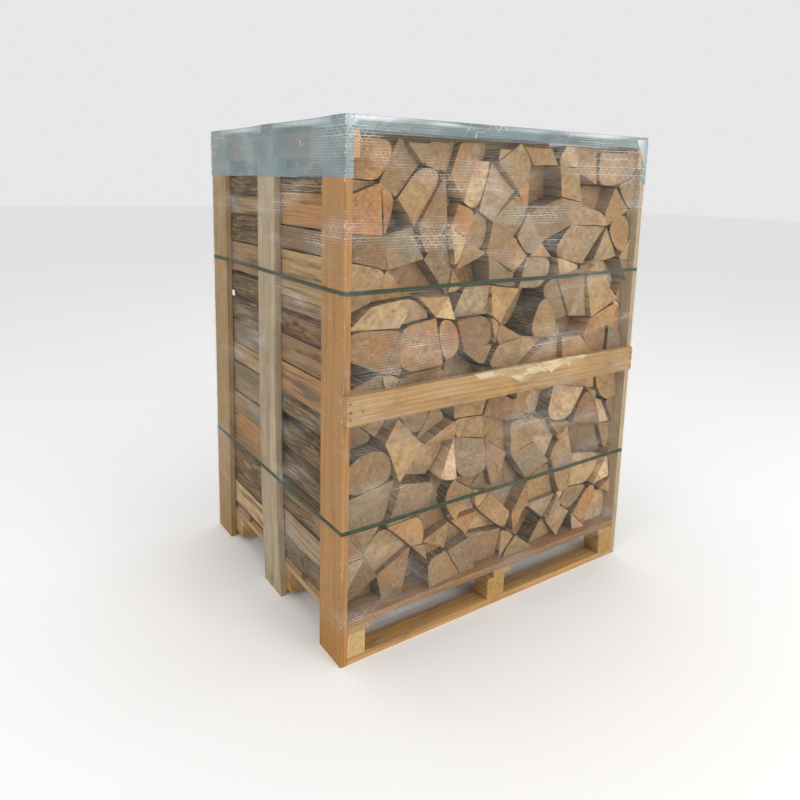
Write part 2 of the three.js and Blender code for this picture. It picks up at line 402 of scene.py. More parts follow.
def sawn_board_material(sawn_wood, name, grain, light, dark, weathering, seed):
    """Sawn wood for one board, from its own part of the tree."""
    material, t, shader = new_material(name, specular=0.3)
    rng = random.Random(seed)
    shift = (rng.uniform(-3, 3), rng.uniform(-3, 3), rng.uniform(-3, 3))
    moved = t.vector("ADD", t.turned(t.object_place(), Rotation=GRAIN_TURNS[grain]), shift)
    reach = rng.uniform(0.06, 0.16)
    angle = rng.uniform(0, 2 * math.pi)
    pith = (0.0, shift[1] + reach * math.cos(angle), shift[2] + reach * math.sin(angle))
    feeds = {"Place": moved, "Pith": pith, "Early Wood": light, "Late Wood": dark, "Weathering": weathering}
    wood = t.add("ShaderNodeGroup", feeds, node_tree=sawn_wood).outputs
    t.feed(shader["Base Color"], wood["Color"])
    t.feed(shader["Roughness"], wood["Roughness"])
    add_bump(t, shader, wood["Height"], 0.5, 0.0012)
    return material


BOARD_KINDS = [
    # node name starts with, grain, light, dark, weathering
    ("post_left_middle", "z", linear(194, 175, 142), linear(150, 129, 98), 0.35),
    ("post_right_middle", "z", linear(190, 170, 136), linear(146, 125, 94), 0.35),
    ("post_left_rear", "z", linear(176, 147, 98), linear(144, 106, 60), 0.3),
    # the front right post is paler and greyer than the others: painted highlight for glare off the film in
    # front of it
    ("post_right_front", "z", linear(188, 168, 136), linear(156, 134, 100), 0.2),
    ("post_", "z", linear(186, 138, 78), linear(151, 103, 47), 0.12),
    ("top_rail", "y", linear(206, 170, 112), linear(170, 124, 70), 0.1),
    ("runner", "x", linear(206, 166, 108), linear(162, 118, 66), 0.5),
    ("block_left_front", "y", linear(210, 180, 128), linear(180, 142, 90), 0.05),
    ("block", "y", linear(188, 154, 96), linear(152, 112, 60), 0.15),
    ("stringer", "y", linear(190, 156, 104), linear(146, 108, 62), 0.2),
    ("deck", "x", linear(166, 122, 76), linear(120, 80, 44), 0.3),
    ("cross_beam", "x", linear(160, 138, 96), linear(116, 94, 58), 0.3),
    ("mid_rail", "x", linear(194, 156, 98), linear(152, 110, 56), 0.42),
]


def dress_boards(sawn_wood):
    for seed, (name, node) in enumerate(sorted(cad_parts.items())):
        for start, *finish in BOARD_KINDS:
            if name.startswith(start):
                node.data.materials.clear()
                node.data.materials.append(sawn_board_material(sawn_wood, f"wood_{name}", *finish, seed))
                break


# ---- log materials ----


def log_attributes(t):
    """A log's place, measured from its pith, the same shifted by its mood, and the mood's three numbers."""
    place = t.attribute("log_place", "Vector")
    mood = t.attribute("log_mood", "Vector")
    shifted = t.vector("ADD", place, t.scaled(mood, 7.0))
    return place, shifted, *t.split(mood)


def build_log_tone():
    """The ground colour of a log from its mood: cream, tan, orange, pale and grey-brown wood."""
    inputs = [
        ("Tone", "NodeSocketFloat", 0.5),
        ("Age", "NodeSocketFloat", 0.5),
        ("Place", "NodeSocketVector", None),
    ]
    group, t, given, out = new_group("log_tone", inputs, [("Color", "NodeSocketColor")])
    stops = [
        (0.00, linear(228, 194, 146)),
        (0.12, linear(188, 154, 106)),
        (0.26, linear(146, 114, 76)),
        (0.40, linear(198, 164, 114)),
        (0.54, linear(188, 136, 82)),
        (0.66, linear(172, 142, 98)),
        (0.78, linear(126, 100, 70)),
        (0.88, linear(242, 208, 164)),
        (1.00, linear(166, 146, 114)),
    ]
    ground = t.colours(given["Tone"], stops)
    aged = t.tint(t.ramp(given["Age"], 0.55, 1.0), 0.6, ground, linear(134, 120, 100))
    cloud = t.ramp(t.noise(given["Place"], 22.0, 3.0), 0.35, 0.75)
    t.feed(out["Color"], t.tint(cloud, 0.3, aged, linear(164, 120, 72)))
    return group


def tone_of_log(t, log_tone, tone, age, shifted):
    feeds = {"Tone": tone, "Age": age, "Place": shifted}
    return t.add("ShaderNodeGroup", feeds, node_tree=log_tone).outputs[0]


def log_end_material(log_tone):
    """Sawn end grain: soft growth rings, stained patches, radial checks and torn saw bars."""
    material, t, shader = new_material("log_end_grain", roughness=0.82, specular=0.25)
    place, shifted, tone, warmth, age = log_attributes(t)
    ground = tone_of_log(t, log_tone, tone, age, shifted)
    wobble = t.times(t.noise(shifted, 30.0, 3.0), 0.012)
    reach = t.plus(t.length(t.stretch(place, (1.0, 0.0, 1.0))), wobble)

    fine_rings = t.ramp(t.math("SINE", t.times(reach, 2100.0)), -0.2, 1.0)
    broad = t.ramp(t.noise(t.combine(t.times(reach, 85.0), age, warmth), 1.0, 3.0, 0.7), 0.36, 0.68)
    ringed = t.tint(fine_rings, 0.14, ground, linear(112, 74, 42))
    ringed = t.tint(broad, 0.26, ringed, linear(124, 84, 48))
    heart = t.times(t.minus(1.0, t.ramp(reach, 0.01, 0.07)), t.ramp(warmth, 0.35, 0.9))
    ringed = t.tint(heart, 0.5, ringed, linear(150, 86, 48))
    stain = t.ramp(t.noise(shifted, 17.0, 5.0, 0.6, 0.6), 0.48, 0.66)
    stained = t.tint(stain, 0.42, ringed, linear(120, 88, 54))
    grey = t.times(t.ramp(t.noise(shifted, 11.0), 0.46, 0.62), t.ramp(age, 0.25, 0.8))
    stained = t.tint(grey, 0.6, stained, linear(132, 124, 102))
    rusty = t.ramp(t.noise(t.vector("ADD", shifted, (1.3, 5.1, 0.7)), 15.0, 4.0, 0.6), 0.50, 0.66)
    rusty = t.times(rusty, t.ramp(warmth, 0.3, 0.8))
    stained = t.tint(rusty, 0.36, stained, linear(176, 112, 64))

    x, _, z = t.split(place)
    angle = t.math("ARCTAN2", z, x)
    spokes = t.noise(t.combine(t.times(angle, 9.0), t.times(reach, 5.0), age), 1.0, 3.0, 0.6)
    check = t.times(t.ramp(t.gap(spokes, 0.47), 0.012, 0.0), t.ramp(t.noise(shifted, 12.0, 2.0), 0.50, 0.62))
    cracked = t.tint(check, 0.7, stained, linear(66, 46, 30))
    mottle = t.ramp(t.noise(shifted, 62.0, 4.0, 0.7, 0.4), 0.46, 0.66)
    mottled = t.tint(mottle, 0.4, cracked, linear(108, 76, 46))
    lights = t.ramp(t.noise(t.vector("ADD", shifted, (3.7, 1.1, 2.3)), 90.0, 4.0, 0.7), 0.54, 0.7)
    mottled = t.tint(lights, 0.3, mottled, linear(226, 200, 160))
    specks = t.ramp(t.noise(shifted, 190.0, 4.0, 0.7), 0.55, 0.72)
    t.feed(shader["Base Color"], t.tint(specks, 0.4, mottled, linear(88, 64, 42)))

    saw = t.noise(t.stretch(shifted, (0.25, 0.25, 1.0)), 330.0, 2.0)
    height = t.plus(t.times(saw, 0.6), t.times(t.noise(shifted, 520.0, 3.0), 0.4))
    height = t.plus(height, t.times(t.noise(shifted, 45.0), 1.2))
    add_bump(t, shader, t.minus(height, t.times(check, 1.6)), 0.7, 0.0024)
    return material


def log_split_material(log_tone):
    """The riven side of a log: long torn fibres, grooves and grey weathering."""
    material, t, shader = new_material("log_split_side", roughness=0.88, specular=0.2)
    _, shifted, tone, _, age = log_attributes(t)
    fibres = t.noise(shifted, (150.0, 6.0, 150.0), 5.0, 0.7)
    tears = t.noise(shifted, (46.0, 2.6, 46.0), 4.0, 0.6)
    ground = tone_of_log(t, log_tone, tone, age, shifted)
    darker = t.tint(t.ramp(fibres, 0.35, 0.75), 0.75, ground, linear(104, 74, 46))
    grooved = t.tint(t.ramp(tears, 0.50, 0.66), 0.7, darker, linear(72, 52, 36))
    grey = t.times(t.ramp(t.noise(shifted, (9.0, 3.0, 9.0), 3.0), 0.44, 0.64), t.ramp(age, 0.1, 0.9))
    t.feed(shader["Base Color"], t.tint(grey, 0.6, grooved, linear(112, 104, 88)))
    add_bump(t, shader, t.plus(t.times(fibres, 0.5), t.times(tears, 0.9)), 0.8, 0.004)
    return material


def log_bark_material():
    """Rough bark: long broken ridges with dark furrows between, worn and greyed in patches."""
    material, t, shader = new_material("log_bark", roughness=0.92, specular=0.15)
    _, shifted, _, warmth, age = log_attributes(t)
    ridges = t.noise(shifted, (76.0, 6.5, 76.0), 4.0, 0.6, 0.5)
    furrow = t.ramp(t.gap(ridges, 0.5), 0.07, 0.0)
    grain = t.noise(shifted, (190.0, 22.0, 190.0), 5.0, 0.7)
    stops = [
        (0.0, linear(108, 82, 54)),
        (0.35, linear(134, 106, 70)),
        (0.7, linear(152, 126, 90)),
        (1.0, linear(128, 86, 50)),
    ]
    plate = t.mix(t.ramp(grain, 0.35, 0.7), t.colours(warmth, stops), linear(148, 122, 86))
    furrowed = t.tint(furrow, 0.75, plate, linear(56, 42, 30))
    worn = t.ramp(t.noise(shifted, (16.0, 2.4, 16.0), 4.0, 0.65), 0.5, 0.64)
    under = t.tint(worn, t.ramp(warmth, 0.2, 0.7), furrowed, linear(146, 108, 70))
    moss = t.times(t.ramp(t.noise(shifted, 16.0, 3.0), 0.55, 0.7), t.ramp(age, 0.3, 0.8))
    t.feed(shader["Base Color"], t.tint(moss, 0.35, under, linear(96, 98, 68)))
    add_bump(t, shader, t.minus(t.times(grain, 0.4), furrow), 0.9, 0.005)
    return material


# ---- the stack: cells, outlines and lofted logs ----

LOG_WIDTH = 0.108  # usual spacing of the corners where logs meet
ROW_HEIGHT = 0.095
CORNER_SLIP = 0.4  # how far a corner strays, as a share of the spacing
MISSING_CORNERS = 0.07
JOINED_SHARE = 0.34  # of the triangles, how many pairs are joined
CLEARANCE = 0.0004  # usual half of the gap left between neighbouring logs
STATIONS = 9  # rings along a log
COLUMNS = 8  # upright pieces in a row of logs
BEND = 0.0015
RECESS = 0.019  # usual depth of a log's outer end behind the face of the stack
DEEP_SHARE = 0.13  # of the logs that end further in
DEEP_RECESS = (0.03, 0.08)
LOWERED_SHARE = 0.5  # of the top logs that don't reach the beams
FULL_TURN = 6.3


def scatter_corners(rng, low, high):
    """Corner points where logs meet: even along the edges of the stack, loosely staggered inside."""
    width, height = high[0] - low[0], high[1] - low[1]
    rows = round(height / ROW_HEIGHT)
    columns = round(width / LOG_WIDTH)
    points = []
    for r in range(rows + 1):
        z = low[1] + height * r / rows
        on_edge = r in (0, rows)
        stagger = 0.0 if r % 2 == 0 else 0.5
        for c in range(columns + 1):
            place = c + (stagger if 0 < c < columns else 0.0)
            if place > columns - 0.4 and c < columns:
                continue
            x = low[0] + width * place / columns
            dx = rng.uniform(-CORNER_SLIP, CORNER_SLIP) * width / columns
            dz = rng.uniform(-CORNER_SLIP, CORNER_SLIP) * height / rows
            if c in (0, columns):
                dx = 0.0
            if on_edge:
                dz = 0.0
            elif 0 < c < columns and rng.random() < MISSING_CORNERS:
                continue
            points.append((x + dx, z + dz))
    return points


def turn(a, b, c):
    """Positive where a, b, c turn left."""
    return (b[0] - a[0]) * (c[1] - b[1]) - (b[1] - a[1]) * (c[0] - b[0])


def is_full(cell):
    """True for a convex cell with no corner that is nearly straight."""
    corners = zip(cell[-1:] + cell[:-1], cell, cell[1:] + cell[:1])
    return all(turn(a, b, c) >= 0.22 * (math.dist(a, b) * math.dist(b, c)) for a, b, c in corners)


def join_cells(first, second):
    """The outline of two cells that share an edge, or None."""
    for i, a in enumerate(first):
        b = first[(i + 1) % len(first)]
        if a in second and b in second:
            j = second.index(b)
            if second[(j + 1) % len(second)] == a:
                head = first[i + 1:] + first[:i + 1]
                tail = second[j + 1:] + second[:j + 1]
                return head + tail[1:-1]
    return None


def stack_cells(seed, low, high):
    """Convex cells that fill the face of the stack, one for each log: triangles, and pairs made quads."""
    rng = random.Random(seed)
    points = [Vector(p) for p in scatter_corners(rng, low, high)]
    corners, _, faces, *_ = delaunay_2d_cdt(points, [], [], 0, 1e-6)
    corners = [(round(p.x, 6), round(p.y, 6)) for p in corners]
    cells = [[corners[i] for i in face] for face in faces]
    cells = [c if turn(*c) > 0 else c[::-1] for c in cells if abs(turn(*c)) > 1e-4]

    by_edge = {}
    for index, cell in enumerate(cells):
        for k in range(3):
            by_edge.setdefault(frozenset((cell[k], cell[(k + 1) % 3])), []).append(index)
    shared = [(edge, pair) for edge, pair in by_edge.items() if len(pair) == 2]
    shared.sort(key=lambda item: -math.dist(*item[0]) * rng.uniform(0.75, 1.25))
    taken = set()
    joined = []
    wanted = round(JOINED_SHARE * len(cells))
    for _, (i, j) in shared:
        if i in taken or j in taken or len(joined) >= wanted:
            continue
        both = join_cells(cells[i], cells[j])
        if both and is_full(both):
            taken.update((i, j))
            joined.append(both)
    return joined + [cell for index, cell in enumerate(cells) if index not in taken]


def inset(cell, distances):
    """A convex cell with each side moved in by a distance of its own."""
    lines = []
    for i, distance in enumerate(distances):
        a, b = np.array(cell[i]), np.array(cell[(i + 1) % len(cell)])
        along = (b - a) / np.linalg.norm(b - a)
        lines.append((a + distance * np.array([-along[1], along[0]]), along))
    result = []
    for (p, d), (q, e) in zip(lines[-1:] + lines[:-1], lines):
        cross = d[0] * e[1] - d[1] * e[0]
        step = ((q[0] - p[0]) * e[1] - (q[1] - p[1]) * e[0]) / cross
        result.append(p + step * d)
    return np.array(result)


def soft_curve(control, steps):
    """A smooth curve from the first to the last control point, pulled towards those between."""
    points = []
    last = len(control) - 2
    for i in range(1, last + 1):
        start = control[0] if i == 1 else (control[i - 1] + control[i]) / 2
        end = control[-1] if i == last else (control[i] + control[i + 1]) / 2
        for k in range(steps):
            s = k / steps
            points.append((1 - s) ** 2 * start + 2 * s * (1 - s) * control[i] + s**2 * end)
    points.append(control[-1])
    return points


def split_side(start, end, rng):
    """The points between two corners along a riven side, slightly bowed and uneven."""
    length = np.linalg.norm(end - start)
    count = int(length / 0.024)
    along = (end - start) / max(length, 1e-6)
    inward = np.array([-along[1], along[0]])
    bow = rng.uniform(0.0, 0.0014)
    points = []
    for k in range(1, count):
        s = k / count
        points.append(start + (end - start) * s + inward * (bow * 4 * s * (1 - s) + rng.uniform(0, 0.0006)))
    return points


SPLITS = {
    # corners of the cell: kinds of log, each with the share of picks it ends at
    3: (("wedge", 0.74), ("half", 0.80), ("riven", 1.0)),
    4: (("wedge", 0.53), ("half", 0.67), ("round", 0.70), ("riven", 1.0)),
}


def choose_shape(count, rng):
    """How a log was split from its round: (kind, first corner of the kind)."""
    pick = rng.random()
    kind = next(kind for kind, end in SPLITS[min(count, 4)] if pick < end)
    return kind, rng.randrange(count)


def chipped_corner(corner, before, after, rng):
    """Two points in place of a sharp corner."""
    chip = rng.uniform(0.0015, 0.0045)
    points = []
    for other in (before, after):
        span = other - corner
        points.append(corner + span * min(0.3, chip / np.linalg.norm(span)))
    return points


def riven_outline(corner, rng):
    points = []
    count = len(corner)
    for k in range(count):
        onward = corner[(k + 1) % count]
        first, last = chipped_corner(corner[k], corner[k - 1], onward, rng)
        follow = chipped_corner(onward, corner[k], corner[(k + 2) % count], rng)[0]
        points += [first, last] + split_side(last, follow, rng)
    return points


def round_outline(corner):
    points = []
    loop = corner + corner[:2]
    for a, b, c in zip(loop, loop[1:], loop[2:]):
        points += soft_curve([(a + b) / 2, b, (b + c) / 2], 6)[:-1]
    return points


def log_outline(cell, rng):
    """A log's section in its cell: points, whether the stretch after each is bark, pith and bark thickness."""
    bark = rng.uniform(0.0006, 0.002)
    shape = inset(cell, [CLEARANCE * rng.uniform(0.3, 1.9) for _ in cell])
    count = len(shape)
    middle = shape.mean(axis=0)
    kind, start = choose_shape(count, rng)
    if kind == "wedge":
        start = max(range(count), key=lambda i: np.linalg.norm(shape[i] - middle) * rng.uniform(0.75, 1.25))
    corner = [shape[(start + k) % count] for k in range(count)]
    if kind == "riven":
        points = riven_outline(corner, rng)
        pith = middle + (corner[0] - middle) * rng.uniform(1.5, 2.4)
        return np.array(points), np.array([False] * len(points)), pith, bark
    if kind == "round":
        points = round_outline(corner)
        return np.array(points), np.array([True] * len(points)), middle, bark

    # a wedge has its pith at corner 0; a half-round has it on the side from corner 0 to corner 1
    chain = corner[1:] if kind == "wedge" else corner[1:] + corner[:1]
    begin, finish = chain[0], chain[-1]
    if kind == "wedge":
        begin = begin + (corner[0] - begin) * rng.uniform(0.01, 0.12)
        finish = finish + (corner[0] - finish) * rng.uniform(0.01, 0.12)
    shoulder = rng.uniform(0.16, 0.34)
    control = [begin, chain[0] + (chain[1] - chain[0]) * shoulder]
    control += chain[1:-1]
    control += [chain[-1] + (chain[-2] - chain[-1]) * shoulder, finish]
    rind = soft_curve(control, 5)[:-1]
    tip = chipped_corner(corner[0], finish, begin, rng) if kind == "wedge" else []
    onward, homeward = tip or (begin, finish)
    after = finish + (onward - finish) * bark / np.linalg.norm(onward - finish)
    before = begin + (homeward - begin) * bark / np.linalg.norm(homeward - begin)
    if tip:
        side = split_side(after, tip[0], rng) + tip + split_side(tip[1], before, rng)
        pith = corner[0] + (corner[0] - middle) * rng.uniform(-0.1, 0.15)
    else:
        side = split_side(after, before, rng)
        pith = (begin + finish) / 2 + (begin + finish - 2 * middle) * rng.uniform(0.0, 0.1)
    split = [finish, after] + side + [before]
    return np.array(rind + split), np.array([True] * len(rind) + [False] * len(split)), pith, bark


def slow_wave(rng, values, size, waves):
    """A smooth random curve over values: a few sines with random phases."""
    total = np.zeros_like(values)
    for k in range(1, waves + 1):
        total += np.sin(values * rng.uniform(0.6, 1.4) * k * 9.0 + rng.uniform(0, FULL_TURN)) / k
    return total * size / waves


class Pile:
    """Gathers logs into one mesh with their attributes."""

    END, SPLIT, BARK = 0, 1, 2

    def __init__(self):
        self.points, self.faces, self.slots, self.places, self.moods = [], [], [], [], []
        self.count = 0

    def add_points(self, points, pith, mood):
        """Adds points of one log; returns the index of the first."""
        first = self.count
        self.points.append(points)
        self.places.append(points - np.array([pith[0], 0.0, pith[1]]))
        self.moods.append(np.tile(mood, (len(points), 1)))
        self.count += len(points)
        return first

    def add_face(self, face, slot):
        self.faces.append(face)
        self.slots.append(slot)

    def to_object(self, name, materials):
        piece = mesh_piece(name, np.concatenate(self.points).tolist(), self.faces, materials)
        mesh = piece.data
        mesh.polygons.foreach_set("material_index", self.slots)
        mesh.polygons.foreach_set("use_smooth", [slot != self.END for slot in self.slots])
        for label, values in (("log_place", self.places), ("log_mood", self.moods)):
            layer = mesh.attributes.new(label, "FLOAT_VECTOR", "POINT")
            layer.data.foreach_set("vector", np.concatenate(values).ravel())
        mesh.update()
        mesh.set_sharp_from_angle(angle=math.radians(38))
        return piece


def cap_log(pile, ring, outline, flags, plane, outward, pith, mood, bark):
    """Closes one end: a rim of bark where the bark is, and the sawn face inside it."""
    count = len(outline)
    middle = outline.mean(axis=0)
    inner = {}
    spots = []
    for i in range(count):
        if flags[i] and flags[i - 1]:
            pull = middle - outline[i]
            spot = outline[i] + pull * bark / np.linalg.norm(pull)
            inner[i] = pile.count + len(spots)
            spots.append([spot[0], plane(spot), spot[1]])
        else:
            inner[i] = ring + (i + int(flags[i - 1]) - int(flags[i])) % count
    if spots:
        pile.add_points(np.array(spots), pith, mood)
    for i in range(count):
        j = (i + 1) % count
        if flags[i]:
            rim = [ring + i, ring + j, inner[j], inner[i]]
            pile.add_face(rim if outward < 0 else rim[::-1], Pile.BARK)
    face = [inner[i] for i in range(count) if flags[i] == flags[i - 1]]
    pile.add_face(face if outward < 0 else face[::-1], Pile.END)


def add_log(pile, cell, rng, y_front, y_back, limits):
    """Lofts one log along the depth, from its sawn front end to its back end."""
    outline, flags, pith, bark = log_outline(cell, rng)
    count = len(outline)
    middle = outline.mean(axis=0)
    mood = (rng.random(), rng.random(), rng.random())
    stations = np.linspace(y_front, y_back, STATIONS)
    twist = math.radians(rng.uniform(-1.3, 1.3))
    bends = np.column_stack([slow_wave(rng, stations, BEND, 2), slow_wave(rng, stations, BEND, 2)])
    taper = rng.uniform(-0.022, 0.022)
    ridge = np.array([rng.uniform(0.0, 0.0014) for _ in range(count)])
    phases = np.array([rng.uniform(0, FULL_TURN) for _ in range(count)])
    lean_front, lean_back = [np.array([rng.uniform(-0.12, 0.12), rng.uniform(-0.12, 0.12)]) for _ in range(2)]
    leans = [lean_front] + [np.zeros(2)] * (STATIONS - 2) + [lean_back]
    rays = outline - middle
    away = rays / np.linalg.norm(rays, axis=1, keepdims=True)
    rings, sections = [], []
    for k, y in enumerate(stations):
        share = k / (STATIONS - 1)
        size = 1.0 - 0.5 * abs(taper) + taper * (share - 0.5)
        inside = min(1.0, 8 * share * (1 - share))
        dent = ridge * (1.0 + np.sin(phases + y * 14.0)) * inside
        loose = np.where(flags, 0.0014, 0.0006) * (1 + np.sin(phases * 3 + y * 31.0)) * inside
        section = rays * size - away * (dent + loose)[:, None]
        angle = twist * (share - 0.5)
        spin = np.array([[math.cos(angle), -math.sin(angle)], [math.sin(angle), math.cos(angle)]])
        spots = np.clip(section @ spin.T + middle + bends[k] * inside, *limits)
        depth = y + (spots - middle) @ leans[k]
        sections.append(spots)
        rings.append(pile.add_points(np.column_stack([spots[:, 0], depth, spots[:, 1]]), pith, mood))
    for a, b in zip(rings, rings[1:]):
        for i in range(count):
            j = (i + 1) % count
            pile.add_face([a + j, a + i, b + i, b + j], Pile.BARK if flags[i] else Pile.SPLIT)
    for k, outward in ((0, -1), (-1, 1)):
        y, lean = stations[k], leans[k]
        plane = lambda p: y + (p - middle) @ lean
        cap_log(pile, rings[k], sections[k], flags, plane, outward, pith, mood, bark)


def clip_cell(cell, axis, limit, keep_below):
    """The part of a convex cell on one side of a level line."""
    sign = 1 if keep_below else -1
    result = []
    for i, a in enumerate(cell):
        b = cell[(i + 1) % len(cell)]
        in_a, in_b = sign * (limit - a[axis]) >= 0, sign * (limit - b[axis]) >= 0
        if in_a:
            result.append(a)
        if in_a != in_b:
            s = (limit - a[axis]) / (b[axis] - a[axis])
            result.append((a[0] + s * (b[0] - a[0]), a[1] + s * (b[1] - a[1])))
    return result


def clear_of_top_rails(cell):
    """Keeps a cell out of the corners that the top rails fill."""
    left, right = TOP_RAIL_HIGH[0], -TOP_RAIL_HIGH[0]
    foot = TOP_RAIL_LOW[2] - 0.002
    xs, zs = zip(*cell)
    if max(zs) <= foot or (min(xs) > left and max(xs) < right):
        return cell
    if sum(zs) / len(cell) < foot - 0.01:
        return clip_cell(cell, 1, foot, True)
    return clip_cell(clip_cell(cell, 0, left + 0.001, False), 0, right - 0.001, True)


def make_log_row(node, seed, materials, outer_side):
    """One row of logs, in upright columns; outer_side is -1 where its sawn ends face the front."""
    low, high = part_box(node)
    face_low, face_high = (low[0], low[2]), (high[0], high[2])
    rng = random.Random(seed + 1)
    piles = [Pile() for _ in range(COLUMNS)]
    for cell in stack_cells(seed, face_low, face_high):
        cell = clear_of_top_rails(cell)
        if len(cell) < 3:
            continue
        if max(p[1] for p in cell) > face_high[1] - 0.002 and rng.random() < LOWERED_SHARE:
            cell = clip_cell(cell, 1, face_high[1] - rng.uniform(0.0, 0.03), True)
        recess = 0.001 + abs(rng.gauss(0.0, RECESS))
        if rng.random() < DEEP_SHARE:
            recess += rng.uniform(*DEEP_RECESS)
        inner = rng.uniform(0.002, 0.02)
        at_front, at_back = (recess, inner) if outer_side < 0 else (inner, recess)
        middle = sum(p[0] for p in cell) / len(cell)
        column = min(COLUMNS - 1, int((middle - low[0]) / (high[0] - low[0]) * COLUMNS))
        add_log(piles[column], cell, rng, low[1] + at_front, high[1] - at_back, (face_low, face_high))
    for index, pile in enumerate(piles):
        stand_for(pile.to_object(f"{node}_column_{index + 1}", materials), node)


# ---- mid rails with a torn edge and nails ----

TORN_START = 0.447  # from the left end of the rail
TORN_LENGTH = 0.518
TORN_HEIGHT = 0.062
TORN_DEPTH = 0.0045
TORN_EDGE = 0.016  # the width over which the torn wood fades out
RAIL_STEPS = 200
RAIL_ROWS = 18
# places of the nails, from a rail's end and its middle height
NAIL_SPOTS = [(0.011, -0.022), (0.012, -0.002), (0.010, 0.021), (0.049, -0.003)]


def add_torn_patch(material):
    """Pale fresh wood over a board's own colour where a strip has torn off, by the board's torn attribute."""
    t = Tree(material.node_tree)
    colour = material.node_tree.nodes["Principled BSDF"].inputs["Base Color"]
    board_colour = colour.links[0].from_socket
    place = t.object_place()
    splinters = t.noise(t.turned(place, Angle=math.radians(-24)), (14.0, 60.0, 190.0), 4.0, 0.65)
    patches = t.noise(place, (9.0, 40.0, 34.0), 4.0, 0.6)
    pale = t.mix(t.ramp(patches, 0.42, 0.62), linear(208, 188, 150), linear(174, 148, 108))
    streaked = t.mix(t.ramp(splinters, 0.56, 0.7), pale, linear(122, 92, 58))
    torn = t.attribute("torn", "Fac")
    ragged = t.plus(torn, t.times(t.minus(splinters, 0.5), 1.1))
    share = t.times(t.ramp(ragged, 0.25, 0.75), t.ramp(torn, 0.0, 0.15))
    t.feed(colour, t.mix(share, board_colour, streaked))
    return material


def nail_material():
    material, t, shader = new_material("nail_steel", roughness=0.45)
    rust = t.ramp(t.noise(t.object_place(), 240.0, 3.0), 0.45, 0.6)
    t.feed(shader["Base Color"], t.mix(rust, linear(96, 92, 88), linear(104, 70, 46)))
    shader["Metallic"].default_value = 0.8
    return material


def build_nail_tree(material):
    """Puts a nail head on every point, flat against a wall that faces along Y."""
    head = ("GeometryNodeMeshCylinder", {"Depth": 0.0016, "Vertices": 14})
    facing = (math.radians(90), 0.0, 0.0)
    return build_scatter_tree("nail_heads", material, "Head Radius", head, facing, (0.8, 1.1))


def make_mid_rail(node, material, nail_tree, seed):
    """A board across the posts whose upper outer edge is torn to pale splinters along part of its length."""
    low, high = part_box(node)
    outward = -1 if low[1] < 0 else 1
    face_y, back_y = (low[1], high[1]) if outward < 0 else (high[1], low[1])
    start = low[0] + TORN_START if outward < 0 else high[0] - TORN_START - TORN_LENGTH

    def rough(x, z):
        return noise.noise(Vector((x, seed, z)))

    def torn_reach(x):
        s = (x - start) / TORN_LENGTH
        if not 0 < s < 1:
            return 0.0
        ragged = 0.7 + 0.6 * rough(x * 11, 0.0) + 0.2 * rough(x * 60, 3.0)
        return TORN_HEIGHT * math.sin(math.pi * s) ** 0.5 * max(0.12, ragged)

    points, torn = [], {}
    for i in range(RAIL_STEPS + 1):
        x = low[0] + (high[0] - low[0]) * i / RAIL_STEPS
        reach = torn_reach(x)
        rise = 0.0045 * min(1.0, reach / 0.02) * (0.4 + abs(rough(x * 60, 7.0)))
        for k in range(RAIL_ROWS + 1):
            z = low[2] + (high[2] - low[2]) * k / RAIL_ROWS
            below = high[2] - z
            depth = 0.0004 * rough(x * 9, z * 60)
            if below < reach:
                depth = min(TORN_DEPTH, 0.16 * (reach - below)) * (0.5 + abs(rough(x * 15 + z * 40, z * 210)))
            depth = max(depth, 0.0015 if k in (0, RAIL_ROWS) else 0.0)
            torn[len(points)] = max(0.0, min(1.0, (reach - below) / TORN_EDGE))
            points.append((x, face_y - outward * depth, z + (rise if k == RAIL_ROWS else 0.0)))
        torn[len(points)] = min(1.0, reach / TORN_EDGE)
        points.append((x, face_y - outward * 0.009, high[2] + 0.3 * rise))
        points += [(x, back_y, high[2]), (x, back_y, low[2])]

    ring = RAIL_ROWS + 4
    left_end = list(range(ring))
    right_end = [RAIL_STEPS * ring + k for k in left_end]
    faces = loft_faces(ring, RAIL_STEPS + 1) + [left_end, right_end[::-1]]
    if outward > 0:
        faces = [face[::-1] for face in faces]
    board = mesh_piece(node + "_board", points, faces, [material])
    set_point_values(board, "torn", torn)

    middle = (low[2] + high[2]) / 2
    nail_y = face_y + outward * 0.0005
    spots = [(low[0] + x, nail_y, middle + z) for x, z in NAIL_SPOTS]
    spots += [(high[0] - x, nail_y, middle - z) for x, z in NAIL_SPOTS]
    nails = run_tree(node + "_nails", nail_tree, {"Head Radius": 0.0036, "Seed": seed}, spots)
    with bpy.context.temp_override(active_object=board, selected_editable_objects=[board, nails]):
        bpy.ops.object.join()
    stand_for(board, node)


# ---- straps ----

STRAP_THICKNESS = 0.0009
STRAP_INSET = 0.0012  # from the outside of the strap's solid to the inside of the band
STRAP_RADIUS = 0.004
STRAP_STEP = 0.06


def strap_material():
    """Dark green plastic strapping, embossed with a fine diamond grid."""
    material, t, shader = new_material("strap_green", roughness=0.55, specular=0.3)
    place = t.object_place()
    x, y, z = t.split(place)
    along = t.plus(x, y)
    rising = t.math("SINE", t.times(t.plus(along, z), 1900.0))
    falling = t.math("SINE", t.times(t.minus(along, z), 1900.0))
    diamonds = t.times(rising, falling)
    dust = t.ramp(t.noise(place, 60.0), 0.4, 0.75)
    green = t.mix(t.ramp(diamonds, -0.4, 0.8), linear(16, 36, 6), linear(44, 66, 16))
    t.feed(shader["Base Color"], t.tint(dust, 0.14, green, linear(110, 112, 88)))
    add_bump(t, shader, diamonds, 0.6, 0.0005)
    return material


